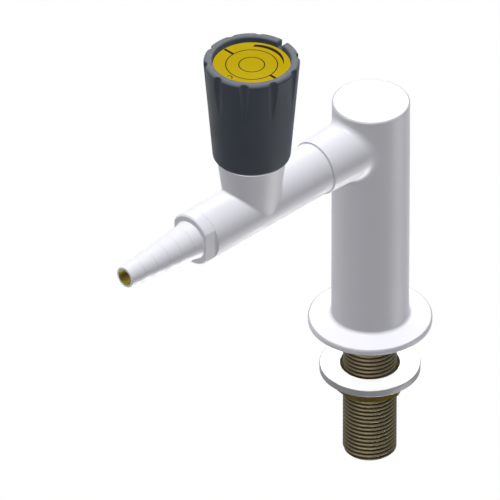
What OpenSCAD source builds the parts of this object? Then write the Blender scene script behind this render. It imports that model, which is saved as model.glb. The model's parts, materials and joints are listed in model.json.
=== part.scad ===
// Laboratory gas tap for a bench top: a column with a side arm, a needle valve under a fluted
// knob, and a serrated hose nozzle. Millimetres.
// The origin is the centre of the flange's underside, on the bench top. The arm points along -Y.

/* [Bench fixing] */
// Thickness of the bench top between the flange and the backing washer
bench_t = 20; // [8:1:26]
// Outside diameter of the backing washer
washer_d = 39; // [32:0.5:50]
// Thickness of the backing washer
washer_t = 3; // [2:0.5:5]
// Diametral play of the backing washer on the shank
washer_play = 2.045; // [1:0.005:3]
// Width across the flats of the backnut
nut_af = 26; // [25:0.5:32]
// Height of the backnut
nut_h = 7; // [5:0.5:10]
// Angle of the cone that chamfers the nut's lower corners
nut_chamfer = 30; // [15:1:35]
// Inset of the nut's round lower face from its flats
nut_inset = 0.2; // [0:0.1:1]

/* [Column] */
// Diameter of the column
column_d = 30; // [29:0.5:34]
// Height of the column's flat top above the bench
column_h = 102.5; // [101:0.5:120]
// Small round-off at the column's top edge
column_edge = 0.4; // [0.2:0.1:1]
// Diameter of the base flange
flange_d = 48; // [47:0.5:60]
// Thickness of the flange at its rim
flange_t = 2.2; // [2:0.1:5]
// Fillet between the flange and the column
flange_fillet = 1.5; // [0.5:0.1:2.5]
// Gas bore up the column
riser_d = 12; // [8:0.5:13]
// Closed end left above the gas bore
column_cap = 9.5; // [5:0.5:11]

/* [Threaded shank] */
// Outside diameter of the parallel pipe thread, half inch size
thread_d = 20.955; // [20.955:0.1:21.955]
// Pitch of the thread, fourteen turns to the inch
thread_pitch = 1.814; // [1.814:0.1:2.314]
// Depth of the thread from crest to root
thread_depth = 1.162; // [1:0.05:1.3]
// Length of the shank below the bench top's upper face
shank_l = 60; // [50:1:90]
// Chamfer at the shank's lower end
shank_chamfer = 0.8; // [0.5:0.1:1.5]
// Gas bore through the shank
shank_bore_d = 10; // [6:0.5:11]
// Bore of the inlet socket for the supply pipe
inlet_d = 12.1; // [11.5:0.1:13]
// Depth of the inlet socket
inlet_l = 12; // [8:1:18]
// Diameter of the spigot that screws up into the column
spigot_d = 17.9; // [17:0.1:18.2]
// Length of that spigot above the bench top
spigot_l = 13.5; // [9:0.5:16]
// Depth of the shallow recess in the column that takes the shank's shoulder
shank_seat = 1; // [0.5:0.1:1.5]

/* [Bench gasket] */
// Inside diameter of the flat gasket let into the flange's underside
gasket_in_d = 26; // [25:0.5:30]
// Outside diameter of that gasket
gasket_out_d = 42; // [38:0.5:44]
// Thickness of that gasket
gasket_t = 1; // [0.6:0.1:1.2]

/* [Arm] */
// Distance from the column's top down to the arm's axis
arm_drop = 16.25; // [14.5:0.05:18]
// Diameter of the valve body's barrel
arm_d = 20.9; // [20.7:0.1:21.8]
// Distance from the column's axis to the end of the column's sleeve
sleeve_l = 30.4; // [28:0.2:34]
// Diameter of the sleeve at its end
sleeve_d = 22; // [21.9:0.1:23.4]
// Draft of the sleeve towards the column, degrees
sleeve_draft = 2; // [0:0.5:3]
// Distance from the column's axis to the valve's axis
valve_y = 64.5; // [62:0.5:66]
// Distance from the column's axis to the end of the barrel
barrel_end = 92.5; // [90:0.5:100]
// Diameter of the barrel's spigot inside the sleeve
arm_spigot_d = 15.9; // [15:0.1:16.4]
// Length of that spigot
arm_spigot_l = 13.4; // [10:0.2:14]
// Gas bore along the arm
arm_bore_d = 8; // [6:0.5:9]

/* [Valve] */
// Height of the valve boss's top above the arm's axis
boss_h = 22.35; // [22:0.05:24]
// Diameter of the valve boss at its top
boss_d = 26.6; // [26.4:0.1:27.6]
// Taper of the valve boss, degrees
boss_taper = 7.5; // [5:0.1:9.5]
// Diameter of the valve chamber
chamber_d = 16; // [15.4:0.1:16.6]
// Diameter of the screwed socket for the headwork
headwork_d = 18; // [17.6:0.1:18.6]
// Height of the headwork's lower end above the arm's axis
headwork_low = 7; // [6.6:0.1:7.4]
// Depth of that socket below the boss's top
headwork_l = 10.9; // [9:0.1:11.5]
// Bore of the valve port
port_d = 5; // [4:0.1:5.4]
// Outside diameter of the seat ring
seat_d = 9; // [8.4:0.1:9.6]
// Thickness of the seat ring
seat_t = 1.5; // [1:0.1:1.8]
// Depth of the lower drilling's axis below the arm's axis
feed_drop = 5; // [4.6:0.1:5.2]
// Diameter of the lower drilling that feeds the port
feed_d = 5.6; // [4.6:0.1:5.8]
// Distance from the valve's axis back to the start of the lower drilling
feed_l = 14.5; // [12:0.5:18]
// Lap of the arm's bore over the start of the lower drilling
feed_lap = 2; // [1.5:0.1:3]
// Length of the lower drilling past the port's far side
feed_past = 1; // [0.5:0.1:3]
// Diameter of the outlet drilling
outlet_d = 4; // [3:0.1:4.4]
// Height of the outlet drilling's axis above the arm's axis
outlet_rise = 1; // [0.8:0.1:1.6]
// Lap of the outlet drilling into the chamber
outlet_lap = 1.5; // [1:0.1:3]

/* [Headwork and spindle] */
// Width across the flats of the headwork's hexagon
hex_af = 19; // [17:0.1:20]
// Height of the headwork's hexagon
hex_h = 6; // [4:0.5:8]
// Thickness of the sealing washer under the hexagon
hex_washer_t = 0.8; // [0.5:0.1:1.2]
// Diameter of the headwork's neck
neck_d = 15; // [13:0.5:16]
// Length of the neck above the hexagon
neck_l = 12.3; // [11:0.1:13]
// Diameter of the spindle's shaft in the neck
spindle_d = 8; // [7.6:0.1:8.6]
// Diameter of the spindle's collar
collar_d = 10.8; // [10:0.1:11]
// Height of the spindle's collar
collar_h = 8.7; // [8.4:0.1:9]
// Height of the collar left above the stem's hole
collar_roof = 1; // [0.6:0.1:1.4]
// Thickness of the thrust washer above the collar
thrust_t = 0.4; // [0.3:0.1:0.6]
// Diameter of the spindle's top, where the knob sits
spindle_top_d = 7.2; // [6.8:0.1:7.4]
// Distance from the spindle's end to the floor of the knob's hub
spindle_short = 0.2; // [0.1:0.05:1]
// Thickness of the circlip above the neck
circlip_t = 0.8; // [0.6:0.1:1]
// Outside diameter of the circlip
circlip_d = 11; // [10:0.5:12]
// Diameter at the bottom of the circlip's groove
circlip_groove_d = 6.4; // [6:0.1:6.6]
// Gap between the circlip's ends
circlip_gap = 3; // [1:0.5:4]

/* [Needle] */
// Width across the flats of the needle's hexagonal carrier
needle_af = 12; // [11.6:0.1:12.2]
// Height of the needle's carrier
needle_hex_h = 6; // [5.5:0.1:6.4]
// Height of the shoulder between the seal and the carrier
shoulder_h = 2.4; // [2:0.1:2.8]
// Diameter of that shoulder
shoulder_d = 8.8; // [8:0.1:10]
// Thickness of the needle's soft seal
seal_t = 1.5; // [1:0.1:1.8]
// Diameter of the needle's core through the seal
core_d = 4.8; // [3.8:0.1:4.9]
// Diameter of the needle's tip
tip_d = 2.4; // [1:0.1:3]
// Length of the needle's tip below the seat's face
tip_l = 1.4; // [1:0.1:3]
// Diameter of the needle's screwed stem in the spindle
stem_d = 6; // [5:0.1:6.2]
// Length of the needle's stem above the carrier
stem_l = 8; // [6:0.1:8.2]
// Lift of the needle from closed to fully open
needle_lift = 2.25; // [1.5:0.05:2.5]

/* [Knob] */
// Height of the knob from its lower edge to its rim
knob_h = 44.4; // [43:0.2:47]
// Diameter of the knob at its lower edge
knob_low_d = 29.6; // [28.6:0.2:31]
// Diameter of the knob at its rim
knob_top_d = 37; // [36.5:0.1:39]
// Gap between the knob and the valve boss
knob_gap = 0.5; // [0.4:0.1:1]
// Wall of the knob's skirt
knob_wall = 2.2; // [1.6:0.1:2.4]
// Diameter of the opening inside the knob's rim
rim_d = 30; // [29.8:0.1:31]
// Depth of the indicator disc's face below the rim
rim_recess = 2.4; // [1.5:0.1:3]
// Number of finger flutes round the knob
flutes = 10; // [6:1:12]
// Radius of a finger flute
flute_r = 1.95; // [1.2:0.05:2.4]
// Depth of a finger flute at the rim
flute_depth = 1.5; // [0.8:0.1:1.7]
// Width of the pointer notch through the rim
notch_w = 2.6; // [1.6:0.1:4]
// Round-off at the knob's lower edge and rim
knob_edge = 0.9; // [0.4:0.1:1.2]
// Diameter of the knob's hub
hub_d = 17; // [15:0.5:18]
// Number of ribs between the hub and the skirt
ribs = 5; // [3:1:8]
// Thickness of a rib
rib_t = 1.6; // [1:0.1:2.4]
// Thickness of the knob's top plate under the disc
top_plate_t = 3.1; // [2.8:0.1:4]
// Outside diameter of the bush moulded in the hub
bush_d = 12; // [10:0.5:13]
// Gap between the circlip and the knob's hub
hub_gap = 1.15; // [0.5:0.05:2]
// Thickness of the hub's floor under the screw's head
hub_floor_t = 2.9; // [2:0.1:4]
// Distance from the hub's lower end to the lower end of the ribs
rib_rise = 2; // [0:0.5:6]
// Thread diameter of the knob's screw
screw_d = 3.2; // [2.5:0.1:4]
// Length of the knob's screw under its head
screw_l = 9; // [6:0.5:12]
// Head diameter of the knob's screw
screw_head_d = 6; // [5:0.1:7]
// Head height of the knob's screw
screw_head_h = 2; // [1.5:0.1:2.2]
// Gap between the screw's head and the indicator disc
head_gap = 0.7; // [0.3:0.1:1]
// Width across the flats of the screw's hexagon socket
socket_af = 2.5; // [2:0.1:3]
// Depth of that socket
socket_deep = 1.2; // [0.8:0.1:1.4]

/* [Indicator disc] */
// Diameter of the indicator disc
disc_d = 29.6; // [29:0.1:29.8]
// Thickness of the indicator disc
disc_t = 2; // [1.5:0.1:2.2]
// Depth of the printed marks in the disc
mark_depth = 0.2; // [0.1:0.05:0.4]
// Diameter of the outer ring mark
ring_outer_d = 19.7; // [18:0.1:22]
// Diameter of the inner ring mark
ring_inner_d = 9.8; // [8:0.1:14]
// Width of a ring mark
ring_w = 0.4; // [0.2:0.05:0.8]
// Width of the two radial marks
tick_w = 1.1; // [0.4:0.1:1.5]
// Distance from the outer end of a radial mark to the disc's edge
tick_inset = 0.2; // [0.1:0.1:1]
// Radius of the crescent mark's inner arc
crescent_in_r = 12; // [11.8:0.1:12.4]
// Radius of the crescent mark's outer arc
crescent_out_r = 11.1; // [10.9:0.05:11.4]
// Greatest distance from the disc's centre to the crescent's outer edge
crescent_reach = 13.6; // [13:0.1:14.4]
// Direction of the crescent's thickest part, degrees from +X
crescent_turn = 108; // [0:1:359]
// Direction of the crescent's blunt end past that part, degrees
crescent_end = 25; // [15:1:40]
// Slant of the blunt end against the radius, degrees
crescent_slant = 32; // [0:1:50]
// Distance from the disc's centre to the small arched mark opposite the crescent
arch_reach = 12; // [11.8:0.1:12.4]
// Outside radius of that arch
arch_r = 1.3; // [0.8:0.1:1.4]

/* [Hose nozzle] */
// Length of the nozzle's collar
collar_l = 5; // [5:0.5:10]
// Width across the spanner flats on that collar
nozzle_af = 17; // [16:0.1:20]
// Chamfer at the front of the collar
collar_chamfer = 0.6; // [0.2:0.1:1.5]
// Length of the serrated tail in front of the collar
tail_l = 35; // [31:0.5:60]
// Diameter of the tail at the collar
tail_root_d = 15.4; // [15:0.1:16.5]
// Diameter of the tail at its tip
tail_tip_d = 8.4; // [7.8:0.1:9]
// Number of hose serrations
serrations = 5; // [3:1:7]
// Distance from one serration to the next
serration_pitch = 5.95; // [3:0.05:6.2]
// Depth of a serration's step
serration_step = 0.45; // [0.2:0.05:0.6]
// Extra length of plain tail in front of the last serration
serration_land = 0.35; // [0:0.05:1]
// Bore through the nozzle
nozzle_bore_d = 6.2; // [4:0.1:6.4]
// Diameter of the nozzle's spigot in the barrel
nozzle_spigot_d = 13.9; // [12:0.1:14.4]
// Length of the nozzle's spigot
nozzle_spigot_l = 6.5; // [5:0.5:7]
// Thickness of the gasket at the end of that spigot
nozzle_gasket_t = 0.9; // [0.5:0.1:1.2]

/* [Clearances] */
// Radial gap of a screwed or pressed seat inside one body
seat_gap = 0.05; // [0.02:0.01:0.08]
// Radial gap of a turning or sliding shaft
run_gap = 0.05; // [0.03:0.01:0.08]
// Gap between flat faces that meet
face_gap = 0.05; // [0.02:0.01:0.08]
// Gap left round a rubber ring in its groove
seal_gap = 0.02; // [0.01:0.01:0.04]
// Section diameter of the rubber sealing rings
ring_section = 1.5; // [1:0.1:1.6]
// Gap across each flat of the needle's carrier in its cage
flat_gap = 0.1; // [0.05:0.01:0.14]
// Radial play of the bench gasket and the other loose rings
ring_play = 0.1; // [0.05:0.01:0.2]
// Radial play of the knob's screw in its hole
screw_play = 0.1; // [0.05:0.05:0.3]
// Radial play of that screw's head in its well
head_play = 0.5; // [0.2:0.05:1]
// Depth left free at the blind end of a socket
socket_spare = 0.5; // [0.2:0.1:1]
// Travel left free above the needle's carrier when it is fully lifted
lift_spare = 0.75; // [0.3:0.05:1]
// Gap between the needle's cage and the spindle's lower end
cage_gap = 0.3; // [0.1:0.05:0.5]

/* [Hidden] */
$fn = 96;

// A cut runs this far past the face that it opens, and a lap this far into what it joins
past = 1;
// Half of the angle between the flanks of the pipe thread
thread_half_angle = 27.5;
// Width of a ring's groove, as a multiple of the ring's section
groove_share = 1.25;

column_r = column_d / 2;
arm_z = column_h - arm_drop;
thread_r = thread_d / 2;
root_r = thread_r - thread_depth;
shank_top = shank_seat - face_gap;
arm_r = arm_d / 2;
column_socket_r = spigot_d / 2 + seat_gap;
column_socket_l = spigot_l + socket_spare;
sleeve_socket_r = arm_spigot_d / 2 + seat_gap;
riser_top = column_h - column_cap;
arm_bore_end = valve_y - feed_l + feed_lap;
outlet_start = valve_y + chamber_d / 2 - outlet_lap;

// Heights along the valve's axis, above the arm's axis
headwork_socket_low = boss_h - headwork_l;
seal_low = face_gap;
shoulder_low = seal_low + seal_t + face_gap;
needle_hex_low = shoulder_low + shoulder_h;
needle_hex_top = needle_hex_low + needle_hex_h;
stem_top = needle_hex_top + stem_l;
cage_top = needle_hex_top + needle_lift + lift_spare;
collar_low = cage_top + cage_gap;
collar_top = collar_low + collar_h;
cage_shoulder = collar_top + thrust_t + 2 * face_gap;
hex_low = boss_h + hex_washer_t;
hex_top = hex_low + hex_h;
neck_top = hex_top + neck_l;
circlip_low = neck_top + face_gap;
circlip_top = circlip_low + circlip_t;
stem_hole_top = collar_top - collar_roof;
knob_low = boss_h + knob_gap;
rim_top = knob_low + knob_h;
disc_top = rim_top - rim_recess;
disc_low = disc_top - disc_t;
plate_low = disc_low - top_plate_t;
head_low = disc_low - screw_head_h - head_gap;
bush_top = head_low - hub_floor_t;
bush_low = circlip_top + hub_gap;
bush_l = bush_top - bush_low;
spindle_top = bush_top - spindle_short;

// Radii of the valve's inner parts
cage_r = collar_d / 2 + run_gap;
neck_bore_r = spindle_d / 2 + run_gap;
stem_hole_r = stem_d / 2 + run_gap;
needle_cage_af = needle_af + 2 * flat_gap;
hex_to_corner = 2 / sqrt(3);
skirt_slope = (knob_top_d - knob_low_d) / 2 / knob_h;
flute_centre_r = knob_top_d / 2 - flute_depth + flute_r;

// Bench fixing, from the bench top's underside downwards
washer_top = -bench_t;
washer_low = washer_top - washer_t;
nut_top = washer_low - face_gap;
nut_low = nut_top - nut_h;

// Nozzle, as distances from the column's axis
collar_start = barrel_end;
tail_start = collar_start + collar_l;
tail_end = tail_start + tail_l;
spigot_end = collar_start - nozzle_spigot_l;
nozzle_socket_end = spigot_end - nozzle_gasket_t - 2 * face_gap;

// Radius of the middle of a rubber ring that seals against a bore of radius bore_r
function ring_mid(bore_r) = bore_r - seal_gap - ring_section / 2;

// Outside radius of the knob at a height above the arm's axis
function knob_r(z) = knob_low_d / 2 + (z - knob_low) * skirt_slope;

// Radius of the hose tail's serration tips at a distance in front of the collar
function tail_r(d) = (tail_root_d - (tail_root_d - tail_tip_d) * d / tail_l) / 2;

// Puts a shape drawn along +Z on the arm's axis, starting y from the column's axis
module along_arm(y) {
    translate([0, -y, arm_z]) rotate([90, 0, 0]) children();
}

// Puts a shape drawn along +Z on the valve's axis, starting z above the arm's axis
module on_valve(z) {
    translate([0, -valve_y, arm_z + z]) children();
}

// Flat ring from its outside and inside radius and its thickness
module flat_ring(out_r, in_r, t) {
    difference() {
        cylinder(r = out_r, h = t);
        translate([0, 0, -past]) cylinder(r = in_r, h = t + 2 * past);
    }
}

// Hexagonal bar with flats at +Y and -Y
module hex_bar(af, h) {
    cylinder(r = af / 2 * hex_to_corner, h = h, $fn = 6);
}

// Rubber ring centred at height z, which seals against a bore of radius bore_r
module rubber_ring(bore_r, z) {
    translate([0, 0, z]) rotate_extrude() translate([ring_mid(bore_r), 0])
        circle(r = ring_section / 2, $fn = 32);
}

// Groove that holds that ring, cut in a shaft
module ring_groove(bore_r, z) {
    groove_w = ring_section * groove_share;
    floor_r = ring_mid(bore_r) - ring_section / 2 - seal_gap;
    translate([0, 0, z - groove_w / 2]) flat_ring(bore_r + past, floor_r, groove_w);
}

// Column turned with its flange: the fillet is a square corner less a circle
module column_turned() {
    rotate_extrude() {
        square([flange_d / 2, flange_t]);
        square([column_r, column_h - column_edge]);
        square([column_r - column_edge, column_h]);
        translate([column_r - column_edge, column_h - column_edge]) circle(r = column_edge);
        difference() {
            translate([column_r, flange_t]) square(flange_fillet);
            translate([column_r + flange_fillet, flange_t + flange_fillet])
                circle(r = flange_fillet);
        }
    }
}

module column() {
    color("gainsboro") difference() {
        union() {
            column_turned();
            along_arm(0) cylinder(
                r1 = sleeve_d / 2 + sleeve_l * tan(sleeve_draft),
                r2 = sleeve_d / 2,
                h = sleeve_l
            );
        }
        translate([0, 0, -past]) cylinder(d = riser_d, h = riser_top + past);
        translate([0, 0, -past]) cylinder(r = column_socket_r, h = column_socket_l + past);
        translate([0, 0, -past]) cylinder(r = thread_r + seat_gap, h = shank_seat + past);
        translate([0, 0, -past])
            flat_ring(gasket_out_d / 2, gasket_in_d / 2, gasket_t + past);
        along_arm(0) cylinder(d = arm_bore_d, h = sleeve_l);
        along_arm(sleeve_l - arm_spigot_l - socket_spare)
            cylinder(r = sleeve_socket_r, h = arm_spigot_l + socket_spare + past);
    }
}

// Thread as rings of V section, one every pitch, from the flange down to the chamfer
module thread_section() {
    turns = floor((shank_l - 2 * shank_chamfer) / thread_pitch);
    flank = thread_depth * tan(thread_half_angle);
    crest = thread_pitch / 2 - flank;
    function groove(i) = let (z = -thread_pitch * (i + 1)) [
        [thread_r, z + thread_pitch / 2 + flank + crest / 2],
        [root_r, z + thread_pitch / 2 + crest / 2],
        [root_r, z + thread_pitch / 2 - crest / 2],
        [thread_r, z + thread_pitch / 2 - flank - crest / 2]
    ];
    polygon(concat(
        [[0, shank_top], [thread_r, shank_top]],
        [for (i = [0 : turns - 1]) each groove(i)],
        [
            [thread_r, -shank_l + shank_chamfer],
            [thread_r - shank_chamfer, -shank_l],
            [0, -shank_l]
        ]
    ));
}

module threaded_shank() {
    color("darkkhaki") difference() {
        union() {
            rotate_extrude() thread_section();
            cylinder(d = spigot_d, h = spigot_l);
        }
        translate([0, 0, -shank_l - past]) cylinder(d = shank_bore_d, h = shank_l + spigot_l + 2 * past);
        translate([0, 0, -shank_l - past]) cylinder(d = inlet_d, h = inlet_l + past);
        ring_groove(column_socket_r, spigot_l / 2);
    }
}

module shank_o_ring() {
    color("black") rubber_ring(column_socket_r, spigot_l / 2);
}

module bench_gasket() {
    color("dimgray") flat_ring(
        gasket_out_d / 2 - ring_play,
        gasket_in_d / 2 + ring_play,
        gasket_t - face_gap
    );
}

module valve_body() {
    color("whitesmoke") difference() {
        union() {
            along_arm(sleeve_l) cylinder(r = arm_r, h = barrel_end - sleeve_l);
            along_arm(sleeve_l - arm_spigot_l) cylinder(d = arm_spigot_d, h = arm_spigot_l + past);
            on_valve(0) cylinder(
                r1 = boss_d / 2 - boss_h * tan(boss_taper),
                r2 = boss_d / 2,
                h = boss_h
            );
        }
        // Way in: bore, lower drilling and port
        along_arm(sleeve_l - arm_spigot_l - past)
            cylinder(d = arm_bore_d, h = arm_bore_end - sleeve_l + arm_spigot_l + past);
        translate([0, 0, -feed_drop]) along_arm(valve_y - feed_l)
            cylinder(d = feed_d, h = feed_l + port_d / 2 + feed_past);
        on_valve(-feed_drop) cylinder(d = port_d, h = feed_drop + past);
        // Chamber, seat and socket for the headwork
        on_valve(0) cylinder(d = chamber_d, h = boss_h + past);
        on_valve(-seat_t) cylinder(r = seat_d / 2 + seat_gap, h = seat_t + past);
        on_valve(headwork_socket_low) cylinder(d = headwork_d, h = headwork_l + past);
        // Way out: drilling and socket for the nozzle
        translate([0, 0, outlet_rise]) along_arm(outlet_start)
            cylinder(d = outlet_d, h = barrel_end - outlet_start);
        along_arm(nozzle_socket_end)
            cylinder(r = nozzle_spigot_d / 2 + seat_gap, h = barrel_end - nozzle_socket_end + past);
        along_arm(sleeve_l - arm_spigot_l) ring_groove(sleeve_socket_r, arm_spigot_l / 2);
    }
}

module arm_o_ring() {
    color("black") along_arm(sleeve_l - arm_spigot_l) rubber_ring(sleeve_socket_r, arm_spigot_l / 2);
}

module valve_seat() {
    color("goldenrod") on_valve(-seat_t) flat_ring(seat_d / 2, port_d / 2, seat_t);
}

module headwork_body() {
    color("goldenrod") difference() {
        union() {
            on_valve(headwork_low)
                cylinder(r = headwork_d / 2 - seat_gap, h = hex_low - headwork_low + past);
            on_valve(hex_low) hex_bar(hex_af, hex_h);
            on_valve(hex_top) cylinder(d = neck_d, h = neck_l);
        }
        // The lower end is turned down to pass into the chamber
        on_valve(headwork_low - past) flat_ring(
            headwork_d, chamber_d / 2 - ring_play,
            headwork_socket_low - headwork_low + face_gap + past
        );
        on_valve(headwork_low - past) hex_bar(needle_cage_af, cage_top - headwork_low + past);
        on_valve(cage_top - face_gap) cylinder(r = cage_r, h = cage_shoulder - cage_top + face_gap);
        on_valve(cage_shoulder - past) cylinder(r = neck_bore_r, h = neck_top - cage_shoulder + 2 * past);
    }
}

module headwork_washer() {
    color("peru") on_valve(boss_h + face_gap)
        flat_ring(hex_af / 2 * hex_to_corner, headwork_d / 2 + seat_gap, hex_washer_t - 2 * face_gap);
}

// Section of the nozzle from its spigot to its tip, x outwards, y along the arm
module nozzle_section() {
    d0 = tail_l - serrations * serration_pitch - serration_land;
    function tip(i) = let (d = d0 + i * serration_pitch, r = tail_r(d)) [
        [r - serration_step, tail_start + d - serration_step / 2],
        [r, tail_start + d]
    ];
    polygon(concat(
        [
            [0, spigot_end],
            [nozzle_spigot_d / 2, spigot_end],
            [nozzle_spigot_d / 2, collar_start],
            [arm_r, collar_start],
            [arm_r, tail_start - collar_chamfer],
            [arm_r - collar_chamfer, tail_start],
            [tail_root_d / 2, tail_start]
        ],
        [for (i = [0 : serrations - 1]) each tip(i)],
        [
            [tail_tip_d / 2, tail_end],
            [0, tail_end]
        ]
    ));
}

module hose_nozzle() {
    color("whitesmoke") difference() {
        along_arm(0) rotate_extrude() nozzle_section();
        along_arm(spigot_end - past) cylinder(d = nozzle_bore_d, h = tail_end - spigot_end + 2 * past);
        for (side = [-1, 1])
            translate([side * (nozzle_af + arm_d) / 2, -collar_start - collar_l / 2, arm_z])
                cube([arm_d, collar_l + 2 * past, 2 * arm_d], center = true);
    }
}

module nozzle_gasket() {
    color("black") along_arm(nozzle_socket_end + face_gap)
        flat_ring(nozzle_spigot_d / 2, nozzle_bore_d / 2 + ring_play, nozzle_gasket_t);
}

module spindle() {
    color("goldenrod") difference() {
        union() {
            on_valve(collar_low) cylinder(d = collar_d, h = collar_h);
            on_valve(collar_low) cylinder(d = spindle_d, h = circlip_top + face_gap - collar_low);
            on_valve(collar_low) cylinder(d = spindle_top_d, h = spindle_top - collar_low);
        }
        on_valve(collar_low - past) cylinder(r = stem_hole_r, h = stem_hole_top - collar_low + past);
        on_valve(circlip_low - face_gap)
            flat_ring(spindle_d, circlip_groove_d / 2, circlip_t + 2 * face_gap);
        on_valve(spindle_top - screw_l) cylinder(r = screw_d / 2 + seat_gap, h = screw_l + past);
        for (z = spindle_ring_heights()) on_valve(z) ring_groove(neck_bore_r, 0);
    }
}

// Heights of the two rubber rings on the spindle
function spindle_ring_heights() = [
    hex_top + neck_l / 4,
    hex_top + neck_l * 3 / 4
];

module spindle_o_rings() {
    color("black") for (z = spindle_ring_heights()) on_valve(z) rubber_ring(neck_bore_r, 0);
}

module thrust_washer() {
    color("silver") on_valve(collar_top + face_gap)
        flat_ring(collar_d / 2, spindle_d / 2 + ring_play, thrust_t);
}

// Spring clip: a ring with a gap on its -Y side
module spindle_circlip() {
    color("silver") difference() {
        on_valve(circlip_low) flat_ring(circlip_d / 2, circlip_groove_d / 2 + seal_gap, circlip_t);
        translate([-circlip_gap / 2, -valve_y - circlip_d, arm_z + circlip_low - past])
            cube([circlip_gap, circlip_d, circlip_t + 2 * past]);
    }
}

// Outside of the knob: a cone, rounded off at both edges in two steps
module knob_outside() {
    function in(a) = knob_edge * (1 - sin(a));
    function up(a) = knob_edge * (1 - cos(a));
    rotate_extrude() polygon(concat(
        [[0, knob_low]],
        [for (a = [0, 45, 90]) [knob_r(knob_low + up(a)) - in(a), knob_low + up(a)]],
        [for (a = [90, 45, 0]) [knob_r(rim_top - up(a)) - in(a), rim_top - up(a)]],
        [[0, rim_top]]
    ));
}

// Hollow of the knob's skirt, less the hub and the ribs that stand in it
module knob_hollow() {
    difference() {
        translate([0, 0, knob_low - past]) cylinder(
            r1 = knob_r(knob_low - past) - knob_wall,
            r2 = knob_r(plate_low) - knob_wall,
            h = plate_low - knob_low + past
        );
        translate([0, 0, bush_low]) cylinder(d = hub_d, h = plate_low - bush_low + past);
        for (i = [0 : ribs - 1]) rotate(i * 360 / ribs)
            translate([hub_d / 2 - past, -rib_t / 2, bush_low + rib_rise])
                cube([knob_top_d / 2, rib_t, plate_low - bush_low]);
    }
}

module knob() {
    color("dimgray") on_valve(0) difference() {
        knob_outside();
        knob_hollow();
        // Seat of the bush, hole for the screw and well for its head
        translate([0, 0, bush_low - past]) cylinder(r = bush_d / 2 + seat_gap, h = bush_l + past);
        translate([0, 0, bush_low]) cylinder(r = screw_d / 2 + screw_play, h = rim_top - bush_low);
        translate([0, 0, head_low]) cylinder(r = screw_head_d / 2 + head_play, h = rim_top - head_low);
        // Recess for the disc inside the rim
        translate([0, 0, disc_low]) cylinder(d = rim_d, h = rim_top - disc_low + past);
        for (i = [0 : flutes - 1]) rotate(90 + i * 360 / flutes)
            translate([flute_centre_r, 0, knob_low - past]) rotate(180)
                cylinder(r = flute_r, h = knob_h + 2 * past);
        translate([-notch_w / 2, 0, disc_top]) cube([notch_w, knob_top_d, rim_recess + past]);
    }
}

module knob_bush() {
    color("goldenrod") on_valve(bush_low)
        flat_ring(bush_d / 2, spindle_top_d / 2 + seat_gap, bush_l - face_gap);
}

module knob_screw() {
    color("silver") on_valve(head_low + face_gap) difference() {
        union() {
            cylinder(d = screw_head_d, h = screw_head_h);
            translate([0, 0, -screw_l]) cylinder(d = screw_d, h = screw_l + past);
        }
        translate([0, 0, screw_head_h - socket_deep]) hex_bar(socket_af, screw_head_h);
    }
}

// Flat pattern of the marks: two rings, two radial ticks, a crescent made of two arcs, and an arch
module mark_shapes() {
    for (d = [ring_outer_d, ring_inner_d]) difference() {
        circle(d = d + ring_w);
        circle(d = d - ring_w);
    }
    for (turn = [0, 180]) rotate(turn) translate([ring_outer_d / 2, -tick_w / 2])
        square([(disc_d - ring_outer_d) / 2 - tick_inset, tick_w]);
    rotate(crescent_turn) difference() {
        translate([crescent_reach - crescent_out_r, 0]) circle(r = crescent_out_r);
        circle(r = crescent_in_r);
        rotate(crescent_end) translate([crescent_in_r, 0]) rotate(-crescent_slant)
            translate([-2 * crescent_reach, 0]) square([4 * crescent_reach, 2 * crescent_reach]);
    }
    translate([0, -arch_reach]) difference() {
        circle(r = arch_r);
        circle(r = arch_r - ring_w);
        translate([-2 * arch_r, -2 * arch_r]) square([4 * arch_r, 2 * arch_r]);
    }
}

module indicator_disc() {
    color("gold") on_valve(disc_low + face_gap) difference() {
        cylinder(d = disc_d, h = disc_t - face_gap);
        translate([0, 0, disc_t - face_gap - mark_depth])
            linear_extrude(mark_depth + past) mark_shapes();
    }
}

module dial_marks() {
    color("black") on_valve(disc_top - mark_depth) linear_extrude(mark_depth) mark_shapes();
}

module needle() {
    color("goldenrod") on_valve(0) {
        rotate_extrude() polygon([
            [0, -tip_l],
            [tip_d / 2, -tip_l],
            [core_d / 2, seal_low],
            [core_d / 2, shoulder_low],
            [shoulder_d / 2, shoulder_low],
            [shoulder_d / 2, needle_hex_low + past],
            [0, needle_hex_low + past]
        ]);
        translate([0, 0, needle_hex_low]) hex_bar(needle_af, needle_hex_h);
        translate([0, 0, needle_hex_top - past]) cylinder(d = stem_d, h = stem_l + past);
    }
}

module needle_seal() {
    color("black") on_valve(seal_low) flat_ring(shoulder_d / 2 - ring_play, core_d / 2 + seal_gap, seal_t);
}

module backing_washer() {
    color("lightgray") translate([0, 0, washer_low])
        flat_ring(washer_d / 2, (thread_d + washer_play) / 2, washer_t);
}

// Hexagon cut to a cone at its lower corners
module backnut() {
    cone_r = nut_af / 2 * hex_to_corner + past;
    cone_h = (cone_r - nut_af / 2 + nut_inset) * tan(nut_chamfer);
    bore_r = thread_r + run_gap;
    color("darkgoldenrod") difference() {
        intersection() {
            translate([0, 0, nut_low]) hex_bar(nut_af, nut_h);
            translate([0, 0, nut_low]) rotate_extrude() polygon([
                [0, 0],
                [nut_af / 2 - nut_inset, 0],
                [cone_r, cone_h],
                [cone_r, nut_h],
                [0, nut_h]
            ]);
        }
        translate([0, 0, nut_low - past]) cylinder(r = bore_r, h = nut_h + 2 * past);
    }
}

column();
threaded_shank();
shank_o_ring();
bench_gasket();
valve_body();
arm_o_ring();
valve_seat();
headwork_body();
headwork_washer();
hose_nozzle();
nozzle_gasket();
spindle();
spindle_o_rings();
thrust_washer();
spindle_circlip();
knob();
knob_bush();
knob_screw();
indicator_disc();
dial_marks();
needle();
needle_seal();
backing_washer();
backnut();
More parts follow.
